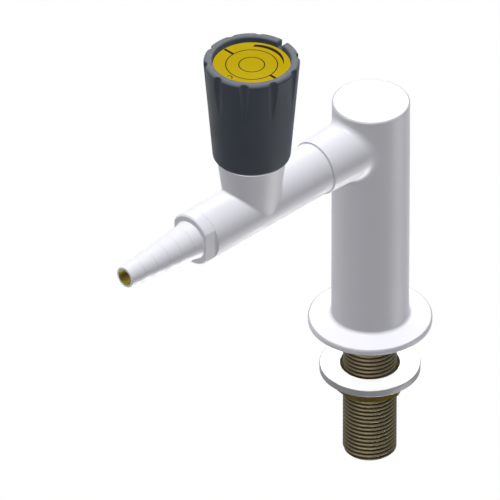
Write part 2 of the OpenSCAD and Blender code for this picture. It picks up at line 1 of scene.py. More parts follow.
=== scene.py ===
# %% [markdown]
# # A laboratory gas tap, dressed for the camera
#
# The tap stands on a bench: a white coated column with a side arm, a needle valve under a dark
# fluted knob, a serrated hose nozzle, and below the bench a threaded shank with its washer and nut.
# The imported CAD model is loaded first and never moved. It gives every size that matters, and each
# new piece is fitted to it, so the looks and the construction stay in one frame.

# %% Load the frame
import json
import math

import bmesh
import bpy
import numpy as np
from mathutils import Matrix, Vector


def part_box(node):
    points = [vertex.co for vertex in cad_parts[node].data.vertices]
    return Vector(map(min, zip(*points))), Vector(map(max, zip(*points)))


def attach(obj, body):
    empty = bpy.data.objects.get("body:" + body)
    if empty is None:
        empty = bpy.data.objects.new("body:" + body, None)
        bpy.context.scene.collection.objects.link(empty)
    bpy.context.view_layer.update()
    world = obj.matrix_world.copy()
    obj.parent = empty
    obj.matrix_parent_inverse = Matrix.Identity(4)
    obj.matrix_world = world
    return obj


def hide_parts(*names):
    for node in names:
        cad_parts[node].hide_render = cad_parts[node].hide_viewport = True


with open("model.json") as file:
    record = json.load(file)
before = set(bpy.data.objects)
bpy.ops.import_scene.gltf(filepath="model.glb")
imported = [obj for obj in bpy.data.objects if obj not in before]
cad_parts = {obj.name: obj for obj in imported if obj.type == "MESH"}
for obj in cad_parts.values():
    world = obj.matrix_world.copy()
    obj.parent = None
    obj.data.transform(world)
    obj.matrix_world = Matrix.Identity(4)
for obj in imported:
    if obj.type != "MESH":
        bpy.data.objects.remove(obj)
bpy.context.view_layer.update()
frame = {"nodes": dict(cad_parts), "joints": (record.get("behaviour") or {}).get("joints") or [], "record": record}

# %% [markdown]
# ## Sizes
#
# A modeller measures the carcass before cutting anything to fit. Most lengths come from the boxes of
# the CAD nodes, from the mounts and from the knob's hinge. What a box can't say, such as a wall or a
# draft, is a named value here. Everything is kept in millimetres until the last step.

# %% Sizes read from the frame
MM = 0.001


def box_mm(node):
    """Lowest and highest corner of a CAD node, in millimetres."""
    low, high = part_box(node)
    return np.array(low) / MM, np.array(high) / MM


mounts = {m["name"]: m for m in frame["record"]["mounts"]}
hinge = next(j for j in frame["joints"] if j["name"] == "knob_turn")
arm_z = mounts["gas_outlet"]["pos_m"][2] / MM
tip_y = -mounts["gas_outlet"]["pos_m"][1] / MM
bore_r = mounts["gas_outlet"]["dims"]["r_mm"]
inlet_r = mounts["gas_inlet"]["dims"]["r_mm"]
inlet_l = mounts["gas_inlet"]["dims"]["length_mm"]
valve_y = -hinge["pos_m"][1] / MM

low, high = box_mm("column")
flange_r, column_h, sleeve_l = high[0], high[2], -low[1]
low, high = box_mm("valve_body")
barrel_start, barrel_end = -high[1], -low[1]
boss_r, boss_h = high[0], high[2] - arm_z
low, high = box_mm("threaded_shank")
thread_r, shank_low, spigot_top = high[0], low[2], high[2]
low, high = box_mm("backing_washer")
washer_r, washer_low, washer_top = high[0], low[2], high[2]
low, high = box_mm("backnut")
nut_af, nut_low, nut_top = 2 * high[1], low[2], high[2]
low, high = box_mm("knob")
knob_low, knob_top, knob_r = low[2], high[2], high[0]
low, high = box_mm("indicator_disc")
disc_low, disc_top = low[2], high[2]

# %% Sizes that a box can't say
column_r = 15.0
flange_t, flange_rise, flange_fillet = 2.2, 1.6, 1.5
sleeve_end_r, sleeve_draft = 11.0, math.tan(math.radians(2))
arm_r = 10.45
boss_taper = math.tan(math.radians(7.5))
pitch, thread_depth, shank_chamfer = 1.814, 1.162, 0.8
washer_bore_r = 11.5
nut_bore_r = 10.5275
knob_low_r, knob_wall, rim_r = 14.8, 2.2, 15.0
flutes, flute_r, flute_depth = 10, 1.95, 1.5
notch_half = 1.3
nozzle_af, collar_l, collar_chamfer = 17.0, 5.0, 0.6
tail_root_r, tail_tip_r = 7.7, 4.2
serrations, serration_pitch, serration_step, serration_land = 5, 5.95, 0.45, 0.35
tail_start = barrel_end + collar_l
last_crest = tip_y - serration_land - serration_pitch
first_crest = last_crest - (serrations - 1) * serration_pitch
print("mm along the arm: valve", round(valve_y, 2), "first crest", round(first_crest, 2))
print("mm up: arm", round(arm_z, 2), "knob", round(knob_low, 2), "to", round(knob_top, 2))

# %% [markdown]
# ## From numbers to a mesh
#
# Every new piece is one or more grids of points. A grid's rows run along a profile and its columns
# run round an axis, so its faces can be numbered with one formula. The grids of a piece share the
# points on their common edges, and merging doubles welds them and closes the poles. Edges sharper
# than a crease angle, 35 degrees on most pieces, stay crisp, and the rest is shaded smooth.


# %% Grids and pieces
MERGE_M = 4e-7
NO_LENGTH_M = 1e-7


def add_object(name, data):
    """A new object in the scene that holds the data."""
    added = bpy.data.objects.new(name, data)
    bpy.context.scene.collection.objects.link(added)
    return added


def grid_faces(rows, columns, start, closed):
    """Four corners of each cell of a rows x columns grid, numbered row by row from start."""
    row = np.arange(rows - 1)[:, None]
    column = np.arange(columns if closed else columns - 1)[None, :]
    right = (column + 1) % columns
    here, there = start + row * columns, start + (row + 1) * columns
    return np.stack([here + column, here + right, there + right, there + column], -1).reshape(-1, 4)


def make_piece(name, grids, material, body, nodes, crease=35):
    """Mesh from [(points rows x columns x 3 in mm, closed round)], welded, with faces outwards."""
    points, faces, start = [], [], 0
    for grid, closed in grids:
        rows, columns, _ = grid.shape
        points.append(grid.reshape(-1, 3) * MM)
        faces.append(grid_faces(rows, columns, start, closed))
        start += rows * columns
    mesh = bpy.data.meshes.new(name)
    mesh.from_pydata(np.concatenate(points).tolist(), [], np.concatenate(faces).tolist())
    work = bmesh.new()
    work.from_mesh(mesh)
    bmesh.ops.remove_doubles(work, verts=work.verts, dist=MERGE_M)
    bmesh.ops.dissolve_degenerate(work, edges=work.edges, dist=NO_LENGTH_M)
    bmesh.ops.recalc_face_normals(work, faces=work.faces)
    if work.calc_volume(signed=True) < 0:
        bmesh.ops.reverse_faces(work, faces=work.faces)
    open_edges = sum(1 for edge in work.edges if not edge.is_manifold)
    work.to_mesh(mesh)
    work.free()
    mesh.shade_smooth()
    mesh.set_sharp_from_angle(angle=math.radians(crease))
    mesh.materials.append(material)
    piece = add_object(name, mesh)
    piece.visible_diffuse = False
    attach(piece, body)
    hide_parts(*nodes)
    print(f"{name}: {len(mesh.vertices)} points, {len(mesh.polygons)} faces, {open_edges} open edges")


# %% [markdown]
# A turned edge is never perfectly sharp: the coating and the tool leave a small radius, and that
# radius is what catches the light. So profiles are written with plain corners, and this function
# puts a true arc into each corner. Most corners take one of three radii in millimetres: a crisp
# machined corner, an eased edge or a broken one. A profile turned round an axis then gives a grid,
# and two more functions lay that grid along the column or along the arm.


# %% Rounded profiles
crisp, eased, broken = 0.1, 0.2, 0.3


def unit(v):
    """The vector or vectors v at length 1."""
    return v / np.linalg.norm(v, axis=-1, keepdims=True)


def rounded(corners, steps=5, guard=0.05, closed=False):
    """Corners [(x, y, radius)] with an arc of that radius in each.

    An arc starts at radius * tan(half the turn) before its corner. Its points are the slerp
    between the two directions from its centre, and one guard point on each side keeps the
    shading of the straight parts flat.
    """
    corners = np.array(corners, float)
    spots, radii, made = corners[:, :2], corners[:, 2], []
    count = len(spots)
    for i, (spot, radius) in enumerate(zip(spots, radii)):
        inner = closed or 0 < i < count - 1
        if not inner or radius == 0:
            made.append(spot[None])
            continue
        before, after = unit(spot - spots[i - 1]), unit(spots[(i + 1) % count] - spot)
        turn = math.acos(float(np.clip(before @ after, -1, 1)))
        reach = radius * math.tan(turn / 2)
        first, last = spot - reach * before, spot + reach * after
        centre = spot + unit(after - before) * radius / math.cos(turn / 2)
        share = np.linspace(0, 1, steps + 1)[:, None]
        arc = np.sin((1 - share) * turn) * (first - centre) + np.sin(share * turn) * (last - centre)
        arc = centre + arc / math.sin(turn)
        made += [(first - guard * before)[None], arc, (last + guard * after)[None]]
    made = np.concatenate(made)
    return np.concatenate([made, made[:1]]) if closed else made


def turned(profile, angles):
    """Grid of a profile (distance along the axis, radius) turned round that axis.

    A point is (radius * sin(angle), distance, radius * cos(angle)): across, along, up.
    """
    along, radius = profile[:, 0][:, None], profile[:, 1][:, None]
    return np.stack([radius * np.sin(angles), along + 0 * angles, radius * np.cos(angles)], -1)


def on_column(grid, height=0.0):
    """Across, along, up -> the upright axis of the column: x, -y and z, with along measured up."""
    across, along, up = np.moveaxis(grid, -1, 0)
    return np.stack([across, -up, along + height], -1)


def on_arm(grid, start=0.0):
    """Across, along, up -> the arm: x, -y from the column's axis, and z from the arm's axis."""
    across, along, up = np.moveaxis(grid, -1, 0)
    return np.stack([across, -(along + start), up + arm_z], -1)


corner = rounded([(0, 0, 0), (1, 0, eased), (1, 1, 0)])
print("an eased corner has", len(corner), "points with its two ends")

# %% [markdown]
# ## A branch on a tube
#
# The column with its sleeve and the valve body with its boss are the same shape: a tube with a
# slightly conical branch, and a small fillet where they meet. A boolean would leave long thin
# triangles that shade badly just where the eye looks, so the joint is worked out instead: rays run
# from the branch's axis to the edge of a rectangle wrapped round the tube. Each ray crosses the
# branch, the fillet and the tube, and together the rays make one even grid.


# %% Tube with a branch
def tee(main_r, low, high, branch_r, slope, fillet, top, columns=72, rows=40):
    """Grids of a tube along the second axis with a branch along the third, joined at distance 0.

    The branch's radius at height h is branch_r + slope * h, and top is its profile (height,
    radius) from the closed end down to where that cone starts. On the ray at angle a the two
    surfaces meet where (radius * cos a)^2 + h^2 = main_r^2, found by halving an interval. The
    fillet is a cubic curve whose handles lie on both surfaces, so it leaves each one smoothly.
    It takes at most 0.6 of the way to the rectangle's edge. The grids come with the angles of the
    tube's end rows, which the pieces that continue the tube need.
    """
    most, pull, halvings = 0.6, 0.6, 60
    wall_rows, curve_rows, skin_rows = 8, 11, 12
    front = np.radians(np.linspace(-90, 90, columns + 1))
    back = np.radians(np.linspace(90, 270, columns + 1))
    side = np.linspace(low, high, rows + 1)
    quarter = math.pi / 2
    edge_t = np.concatenate(
        [front[:-1], np.full(rows, quarter), front[:0:-1], np.full(rows, -quarter)]
    )
    edge_m = np.concatenate(
        [np.full(columns, low), side[:-1], np.full(columns, high), side[:0:-1]]
    )
    ray = np.arctan2(edge_m, main_r * np.sin(edge_t))
    under, over = np.zeros_like(ray), np.full_like(ray, main_r)
    for _ in range(halvings):
        h = (under + over) / 2
        outside = ((branch_r + slope * h) * np.cos(ray)) ** 2 + h**2 > main_r**2
        over, under = np.where(outside, h, over), np.where(outside, under, h)
    radius = branch_r + slope * h
    meet = np.stack([radius * np.cos(ray), radius * np.sin(ray), h], -1)
    start = np.stack([main_r * np.arcsin(np.clip(meet[:, 0] / main_r, -1, 1)), meet[:, 1]], -1)
    end = np.stack([main_r * edge_t, edge_m], -1)
    length = np.linalg.norm(end - start, axis=-1)
    reach = np.minimum(fillet, most * length)

    def tube(flat):
        """Points of the unrolled tube (arc length, distance) put back round it."""
        turn = flat[..., 0] / main_r
        return np.stack([main_r * np.sin(turn), flat[..., 1], main_r * np.cos(turn)], -1)

    def cone(height):
        """Points of the branch at that height on each ray."""
        r = branch_r + slope * height
        return np.stack([r * np.cos(ray), r * np.sin(ray), height + 0 * r], -1)

    heading = unit(end - start)
    foot = start + heading * reach[:, None]
    turn = foot[:, 0] / main_r
    away = np.stack([np.cos(turn) * heading[:, 0], heading[:, 1], -np.sin(turn) * heading[:, 0]], -1)
    neck = cone(h + reach)
    hold = pull * np.linalg.norm(tube(foot) - meet, axis=-1, keepdims=True)
    handles = neck, neck + pull * (meet - neck), tube(foot) - away * hold, tube(foot)
    s = np.linspace(0, 1, curve_rows)[:, None, None]
    weights = (1 - s) ** 3, 3 * s * (1 - s) ** 2, 3 * s**2 * (1 - s), s**3
    curve = sum(weight * handle for weight, handle in zip(weights, handles))
    share = np.linspace(0, 1, wall_rows)[:-1, None]
    wall = cone(top[-1, 0] + share * (h + reach - top[-1, 0]))
    cap = np.stack(
        [top[:-1, 1:] * np.cos(ray), top[:-1, 1:] * np.sin(ray), top[:-1, :1] + 0 * ray], -1
    )
    share = np.linspace(0, 1, skin_rows)[1:, None, None]
    skin = tube(foot + share * (end - foot))
    patch = np.concatenate([cap, wall, curve, skin])
    rear = turned(np.stack([side, np.full_like(side, main_r)], -1), back)
    return [(patch, True), (rear, False)], np.concatenate([front[:-1], back[:-1]])


# %% [markdown]
# ## Node groups
#
# The same few effects return on many materials: the faint orange peel of a sprayed coating, the
# grain of moulded plastic, the rings that a lathe leaves, and grime that gathers unevenly. Each is a
# node group, built once, and every material sets its own values on it. All of them read Object
# coordinates, so a pattern stays where it is in any pose.


# %% Node helpers
def new_group(name, inputs, outputs):
    """Shader node group with float or vector inputs {name: default} and float outputs."""
    group = bpy.data.node_groups.new(name, "ShaderNodeTree")
    for label, value in inputs.items():
        kind = "NodeSocketFloat" if isinstance(value, (int, float)) else "NodeSocketVector"
        socket = group.interface.new_socket(name=label, in_out="INPUT", socket_type=kind)
        socket.default_value = value
    for label in outputs:
        group.interface.new_socket(name=label, in_out="OUTPUT", socket_type="NodeSocketFloat")
    return group, group.nodes.new("NodeGroupInput"), group.nodes.new("NodeGroupOutput")


def feed(tree, source, socket):
    """Links an output to an input socket, or writes a plain value on it."""
    if isinstance(source, bpy.types.NodeSocket):
        tree.links.new(source, socket)
    else:
        socket.default_value = source


def sums(tree, operation, *terms):
    """Output of one Math node on the given sockets or numbers."""
    node = tree.nodes.new("ShaderNodeMath")
    node.operation = operation
    for term, socket in zip(terms, node.inputs):
        feed(tree, term, socket)
    return node.outputs[0]


def ramp(tree, value, low, high, to_low=0.0, to_high=1.0):
    """Smooth step of a value from low..high to to_low..to_high."""
    node = tree.nodes.new("ShaderNodeMapRange")
    node.interpolation_type = "SMOOTHSTEP"
    feed(tree, value, node.inputs["Value"])
    for label, number in zip(("From Min", "From Max", "To Min", "To Max"), (low, high, to_low, to_high)):
        feed(tree, number, node.inputs[label])
    return node.outputs["Result"]


def noise(tree, where, scale, detail=3.0, roughness=0.5):
    """Noise of a scale per metre at a place."""
    node = tree.nodes.new("ShaderNodeTexNoise")
    feed(tree, where, node.inputs["Vector"])
    feed(tree, scale, node.inputs["Scale"])
    node.inputs["Detail"].default_value = detail
    node.inputs["Roughness"].default_value = roughness
    return node.outputs["Fac"]


def mix_colour(tree, share, first, second):
    """Mix by a share of two colours, each (red, green, blue) or an output."""
    node = tree.nodes.new("ShaderNodeMix")
    node.data_type = "RGBA"
    feed(tree, share, node.inputs["Factor"])
    for colour, label in ((first, "A"), (second, "B")):
        feed(tree, (*colour, 1) if isinstance(colour, tuple) else colour, node.inputs[label])
    return node.outputs["Result"]


def object_place(tree):
    """Object coordinates of the shaded point, in metres."""
    return tree.nodes.new("ShaderNodeTexCoord").outputs["Object"]


def axes(tree, place):
    """Outputs X, Y and Z of a place."""
    split = tree.nodes.new("ShaderNodeSeparateXYZ")
    feed(tree, place, split.inputs[0])
    return split.outputs


def axis_distance(tree, first, second):
    """Distance from an axis: the root of the sum of the squares of two coordinates across it."""
    square = sums(tree, "MULTIPLY", first, first)
    return sums(tree, "SQRT", sums(tree, "MULTIPLY_ADD", second, second, square))


def band(tree, value, rise, fall):
    """1 between two soft edges, each (start, end) in mm: up over rise and down again over fall."""
    up = ramp(tree, value, rise[0] * MM, rise[1] * MM)
    down = ramp(tree, value, fall[0] * MM, fall[1] * MM, 1.0, 0.0)
    return sums(tree, "MULTIPLY", up, down)


# %% Surface grain, lathe rings and grime
def grain_group():
    """Height is fine noise plus 1.6 of a slower swell. Patch is slower still, for colour and gloss."""
    group, enter, leave = new_group(
        "surface_grain", {"Grain size": 0.0005, "Swell size": 0.004}, ["Height", "Patch"]
    )
    where = object_place(group)
    fine = noise(group, where, sums(group, "DIVIDE", 1.0, enter.outputs["Grain size"]), detail=2.0)
    swell_scale = sums(group, "DIVIDE", 1.0, enter.outputs["Swell size"])
    swell = noise(group, where, swell_scale, detail=1.0)
    height = sums(group, "MULTIPLY_ADD", swell, 1.6, fine)
    group.links.new(height, leave.inputs["Height"])
    slow = noise(group, where, sums(group, "MULTIPLY", swell_scale, 0.28), detail=4.0, roughness=0.6)
    group.links.new(ramp(group, slow, 0.32, 0.68), leave.inputs["Patch"])
    return group


def lathe_group():
    """Rings round an upright axis: noise read at (distance from the axis, height), so that it is
    the same all the way round. Radius is that distance."""
    group, enter, leave = new_group(
        "lathe_rings", {"Centre": (0.0, 0.0, 0.0), "Spacing": 0.0003}, ["Height", "Radius"]
    )
    where = object_place(group)
    shift = group.nodes.new("ShaderNodeVectorMath")
    shift.operation = "SUBTRACT"
    feed(group, where, shift.inputs[0])
    feed(group, enter.outputs["Centre"], shift.inputs[1])
    place = axes(group, shift.outputs[0])
    radius = axis_distance(group, place["X"], place["Y"])
    line = group.nodes.new("ShaderNodeCombineXYZ")
    feed(group, radius, line.inputs["X"])
    feed(group, place["Z"], line.inputs["Y"])
    scale = sums(group, "DIVIDE", 1.0, enter.outputs["Spacing"])
    group.links.new(noise(group, line.outputs[0], scale, roughness=0.7), leave.inputs["Height"])
    group.links.new(radius, leave.inputs["Radius"])
    return group


def grime_group():
    """Uneven film of tarnish or dust: slow clouds plus 0.35 of fine specks, cut to a soft mask."""
    group, enter, leave = new_group("grime", {"Cloud size": 0.01, "Amount": 0.5}, ["Mask"])
    where = object_place(group)
    scale = sums(group, "DIVIDE", 1.0, enter.outputs["Cloud size"])
    clouds = noise(group, where, scale, detail=5.0, roughness=0.6)
    specks = noise(group, where, sums(group, "MULTIPLY", scale, 9.0), roughness=0.6)
    both = sums(group, "MULTIPLY_ADD", specks, 0.35, clouds)
    mask = sums(group, "MULTIPLY", ramp(group, both, 0.45, 0.95), enter.outputs["Amount"])
    group.links.new(mask, leave.inputs["Mask"])
    return group


grain, rings, grime = grain_group(), lathe_group(), grime_group()
print("node groups:", grain.name, rings.name, grime.name)

# %% [markdown]
# A material places a group, sets its values, and leads the outputs to its shader. The Principled
# shader itself stays outside the groups, because an exporter can only read it there.


# %% Materials in general
def place_group(tree, group, **values):
    """A group node with its inputs set, spaces written as underscores."""
    node = tree.nodes.new("ShaderNodeGroup")
    node.node_tree = group
    for label, value in values.items():
        feed(tree, value, node.inputs[label.replace("_", " ")])
    return node


def new_material(name, metallic=0.0, specular=0.5):
    """Material with a Principled shader, its tree, and the shader."""
    material = bpy.data.materials.new(name)
    material.use_nodes = True
    tree = material.node_tree
    shader = tree.nodes["Principled BSDF"]
    shader.inputs["Metallic"].default_value = metallic
    shader.inputs["Specular IOR Level"].default_value = specular
    print("material:", name)
    return material, tree, shader


def bump(tree, shader, height, strength, distance):
    """Leads a height through a Bump node to the shader's normal. distance is in metres."""
    node = tree.nodes.new("ShaderNodeBump")
    node.inputs["Strength"].default_value = strength
    node.inputs["Distance"].default_value = distance
    feed(tree, height, node.inputs["Height"])
    feed(tree, node.outputs["Normal"], shader.inputs["Normal"])


# %% [markdown]
# ## White epoxy coating
#
# The column, the arm and the nozzle are brass under a smooth white epoxy coating. Up close such a
# coating has a faint orange peel, and its gloss varies a little from place to place. The colour is
# a hair cooler than neutral. Four things break the white, and each is a mask worked out from Object
# coordinates: a painted shade line on the turned top edges, a painted shade at the hairline joints
# between the pieces, a faint painted shade behind each serration, and the bore, where the coating
# stops and bare brass shows.

# %% Masks of the coating
def rim_shade_line(tree, place, rim, height):
    """Painted shade line on a turned top edge of radius rim at a height, both in mm: a band of the distance
    from the column's axis times a band of the height."""
    away = axis_distance(tree, place["X"], place["Y"])
    across = band(tree, away, (rim - 0.68, rim - 0.48), (rim + 0.1, rim + 0.2))
    upwards = band(tree, place["Z"], (height - 0.28, height - 0.12), (height + 0.1, height + 0.2))
    return sums(tree, "MULTIPLY", across, upwards)


def along_arm(tree, place):
    """Distance from the column's axis along the arm, which is -y."""
    return sums(tree, "MULTIPLY", place["Y"], -1.0)


def joint_shade_mask(tree, place, joint):
    """Painted shade at a hairline joint at a distance along the arm: full within 0.1 mm of it and gone at 0.5 mm.
    """
    off = sums(tree, "ABSOLUTE", sums(tree, "SUBTRACT", along_arm(tree, place), joint * MM))
    return ramp(tree, off, 0.1 * MM, 0.5 * MM, 1.0, 0.0)


def tooth_shade(tree, place):
    """Shade that rises just before each crest of the serrations. It follows the remainder of the
    distance along the arm over the serrations' pitch, and a band holds it to the serrations."""
    along = along_arm(tree, place)
    past = sums(tree, "SUBTRACT", along, (first_crest - serration_pitch) * MM)
    since = sums(tree, "MODULO", past, serration_pitch * MM)
    tooth = ramp(tree, since, (serration_pitch - 0.95) * MM, (serration_pitch - 0.4) * MM)
    rise, fall = (first_crest - 1.2, first_crest - 1.1), (last_crest + 0.1, last_crest + 0.2)
    return sums(tree, "MULTIPLY", tooth, band(tree, along, rise, fall))


def bare_bore(tree, place):
    """1 within the bore's radius of the arm's axis, and 0 from 0.4 mm outside it."""
    up = sums(tree, "SUBTRACT", place["Z"], arm_z * MM)
    radius = axis_distance(tree, place["X"], up)
    return ramp(tree, radius, (bore_r + 0.12) * MM, (bore_r + 0.4) * MM, 1.0, 0.0)


# %% Coating
COAT_WHITE = (0.86, 0.857, 0.93)
COAT_SHADE = (0.83, 0.827, 0.90)
# painted shade on the turned top edges
COAT_EDGE_SHADE = (0.46, 0.459, 0.50)
# painted shade in the hairline joints
COAT_JOINT_SHADE = (0.50, 0.498, 0.54)
# faint painted shade behind the serrations and at the nozzle's joint
COAT_FAINT_SHADE = (0.76, 0.757, 0.82)
BRASS = (0.22, 0.17, 0.03)
COAT_GLOSS = (0.30, 0.38)
BRASS_GLOSS = 0.62


def coating(name, rims=(), joint=None, joint_shade=COAT_JOINT_SHADE, nozzle=False):
    """White coating: two close tones by clouds, a gloss that varies with the peel, the peel as a bump.

    rims are (radius, height) in mm of turned top edges round the column, which get a painted shade line,
    joint is a distance along the arm in mm where a painted shade lies, and nozzle adds the painted shades
    of the serrations and the bare brass of the bore.
    """
    material, tree, shader = new_material(name)
    place = axes(tree, object_place(tree))
    peel = place_group(tree, grain, Grain_size=0.0006, Swell_size=0.003)
    film = place_group(tree, grime, Cloud_size=0.02, Amount=0.35)
    colour = mix_colour(tree, film.outputs["Mask"], COAT_WHITE, COAT_SHADE)
    gloss = ramp(tree, peel.outputs["Patch"], 0.0, 1.0, *COAT_GLOSS)
    for rim, height in rims:
        colour = mix_colour(tree, rim_shade_line(tree, place, rim, height), colour, COAT_EDGE_SHADE)
    if joint:
        colour = mix_colour(tree, joint_shade_mask(tree, place, joint), colour, joint_shade)
    if nozzle:
        colour = mix_colour(tree, tooth_shade(tree, place), colour, COAT_FAINT_SHADE)
        bare = bare_bore(tree, place)
        colour = mix_colour(tree, bare, colour, BRASS)
        feed(tree, bare, shader.inputs["Metallic"])
        gloss = ramp(tree, bare, 0.0, 1.0, gloss, BRASS_GLOSS)
    feed(tree, colour, shader.inputs["Base Color"])
    feed(tree, gloss, shader.inputs["Roughness"])
    bump(tree, shader, peel.outputs["Height"], strength=0.12, distance=0.00002)
    return material


# painted shade lines on the column's top edge and on the flange's edge
white_coating = coating("white_coating", rims=((column_r, column_h), (flange_r, flange_t)))
# painted shade at the joint between sleeve and barrel
barrel_coating = coating("white_coating_barrel", joint=sleeve_l + 0.2)
# painted shade behind each serration and at the nozzle's joint
nozzle_coating = coating(
    "white_coating_bare_bore", joint=barrel_end, joint_shade=COAT_FAINT_SHADE, nozzle=True
)

# %% [markdown]
# ## Plastics, print and rubber
#
# The knob is slate grey moulded plastic with a satin grain. Finger grease makes its gloss patchy, and
# its upper edge is glossier and has a painted highlight. The disc is a clear yellow, and its marks are
# a flat brown print. One function makes them all, and the rubber and fibre inside the valve too.


# %% Plastics
# the top of the knob turns glossier and takes a painted highlight over this fade
RUBBED_GLOSS = 0.30
RUBBED_AND_LIT_FADE = 0.7


def plastic(name, colour, shade, roughness, specular, grain_size, strength, rubbed_and_lit=None):
    """Moulded plastic: two close tones by patches, a gloss that varies with them, a fine grain.

    A (colour, height in mm) pair as the last argument makes what lies above that height glossier and paints it
    lighter, a painted highlight.
    """
    material, tree, shader = new_material(name, specular=specular)
    texture = place_group(tree, grain, Grain_size=grain_size, Swell_size=grain_size * 12)
    patch = texture.outputs["Patch"]
    tone = mix_colour(tree, patch, colour, shade)
    gloss = ramp(tree, patch, 0.0, 1.0, roughness - 0.06, roughness + 0.06)
    if rubbed_and_lit:
        top_highlight_colour, start = rubbed_and_lit
        up = axes(tree, object_place(tree))["Z"]
        # above start the top turns glossier and is painted lighter as a highlight
        worn = ramp(tree, up, start * MM, (start + RUBBED_AND_LIT_FADE) * MM)
        tone = mix_colour(tree, worn, tone, top_highlight_colour)
        gloss = ramp(tree, worn, 0.0, 1.0, gloss, RUBBED_GLOSS)
    feed(tree, tone, shader.inputs["Base Color"])
    feed(tree, gloss, shader.inputs["Roughness"])
    bump(tree, shader, texture.outputs["Height"], strength, distance=0.00003)
    return material


# the knob's top edge gets a painted highlight: a lighter colour above that height
grey_plastic = plastic(
    "slate_grey_plastic", (0.070, 0.085, 0.107), (0.076, 0.091, 0.113), roughness=0.50, specular=0.09,
    grain_size=0.00025, strength=0.25, rubbed_and_lit=((0.138, 0.151, 0.180), knob_top - 0.95),
)
yellow_plastic = plastic(
    "yellow_plastic", (0.50, 0.364, 0.001), (0.47, 0.342, 0.001), roughness=0.50, specular=0.02,
    grain_size=0.0004, strength=0.08,
)
dial_print = plastic(
    "brown_print", (0.022, 0.009, 0.002), (0.030, 0.012, 0.003), roughness=0.60, specular=0.03,
    grain_size=0.0003, strength=0.1,
)
black_rubber = plastic(
    "black_rubber", (0.018, 0.018, 0.018), (0.026, 0.026, 0.025), roughness=0.70, specular=0.4,
    grain_size=0.0002, strength=0.4,
)
grey_rubber = plastic(
    "grey_rubber", (0.050, 0.050, 0.052), (0.066, 0.066, 0.068), roughness=0.75, specular=0.4,
    grain_size=0.0002, strength=0.4,
)
fibre = plastic(
    "fibre", (0.20, 0.045, 0.02), (0.16, 0.035, 0.018), roughness=0.80, specular=0.3,
    grain_size=0.0003, strength=0.5,
)

# %% [markdown]
# ## Metals
#
# Each metal is the same recipe with its own values: a base colour, a tarnish colour that gathers in
# clouds, and the fine rings of the lathe as a bump. The thread's own tarnish follows its depth: the
# crests are rubbed lighter and the grooves stay dark, so the mask is the distance from the axis. The
# washer's flat top is painted lighter than its rim, a painted reflection, so its mask is the height.


# %% Metals
TARNISH_DULLS = 0.25


def metal(name, colour, tarnish, roughness, amount, centre=(0, 0, 0), spacing=0.0003, strength=0.15,
          worn=None, lit_face=None):
    """Turned metal: tarnish in clouds, which also dulls it, and rings round centre as a bump.

    worn = (inner, outer) radius in mm keeps everything within the inner radius dark and leaves the
    outer radius bright. A (colour, height in mm) pair for the face paints what lies at that height and
    above in a lighter colour of its own, a painted reflection.
    """
    material, tree, shader = new_material(name, metallic=1.0)
    marks = place_group(tree, rings, Centre=centre, Spacing=spacing)
    share = place_group(tree, grime, Cloud_size=0.006, Amount=amount).outputs["Mask"]
    if worn:
        deep = ramp(tree, marks.outputs["Radius"], worn[0] * MM, worn[1] * MM, 1.0, 0.0)
        share = sums(tree, "MAXIMUM", share, deep)
    tone = mix_colour(tree, share, colour, tarnish)
    if lit_face:
        face_highlight_colour, level = lit_face
        up = axes(tree, object_place(tree))["Z"]
        # the face at that height and above is painted lighter, a painted reflection
        top = ramp(tree, up, (level - 0.05) * MM, (level - 0.01) * MM)
        tone = mix_colour(tree, top, tone, face_highlight_colour)
    feed(tree, tone, shader.inputs["Base Color"])
    gloss = ramp(tree, share, 0.0, 1.0, roughness, roughness + TARNISH_DULLS)
    feed(tree, gloss, shader.inputs["Roughness"])
    bump(tree, shader, marks.outputs["Height"], strength, distance=0.00002)
    return material


valve_axis = (0.0, -valve_y * MM, 0.0)
bright_brass = metal(
    "bright_brass", (0.72, 0.50, 0.17), (0.40, 0.26, 0.08), roughness=0.25, amount=0.3,
    centre=valve_axis,
)
aged_brass = metal(
    "aged_brass", (0.112, 0.097, 0.061), (0.020, 0.014, 0.005), roughness=0.42, amount=0.25,
    worn=(thread_r - 0.75 * thread_depth, thread_r - 0.10 * thread_depth),
)
dull_brass = metal(
    "dull_brass", (0.074, 0.052, 0.0075), (0.036, 0.025, 0.004), roughness=0.50, amount=0.5
)
# the washer's top gets a lighter colour, a painted reflection
plated_steel = metal(
    "plated_steel", (0.20, 0.203, 0.214), (0.155, 0.157, 0.166), roughness=0.42, amount=0.3,
    spacing=0.0002, strength=0.2, lit_face=((0.62, 0.625, 0.64), washer_top),
)
spring_steel = metal(
    "spring_steel", (0.42, 0.42, 0.44), (0.25, 0.24, 0.24), roughness=0.35, amount=0.3,
    centre=valve_axis,
)

# %% [markdown]
# ## Column with its flange and sleeve
#
# The column is turned from bar with its flange and takes the arm in a slightly drafted sleeve. It
# could be one lathe profile plus a boolean, but the branch function gives a clean joint. Below the
# branch the profile runs down the column, through a fillet, out over the flange, whose top falls
# away as a shallow cone, and into the recess for the gasket. It goes on up the shank's socket and the
# gas way, and closes at the top of that way.

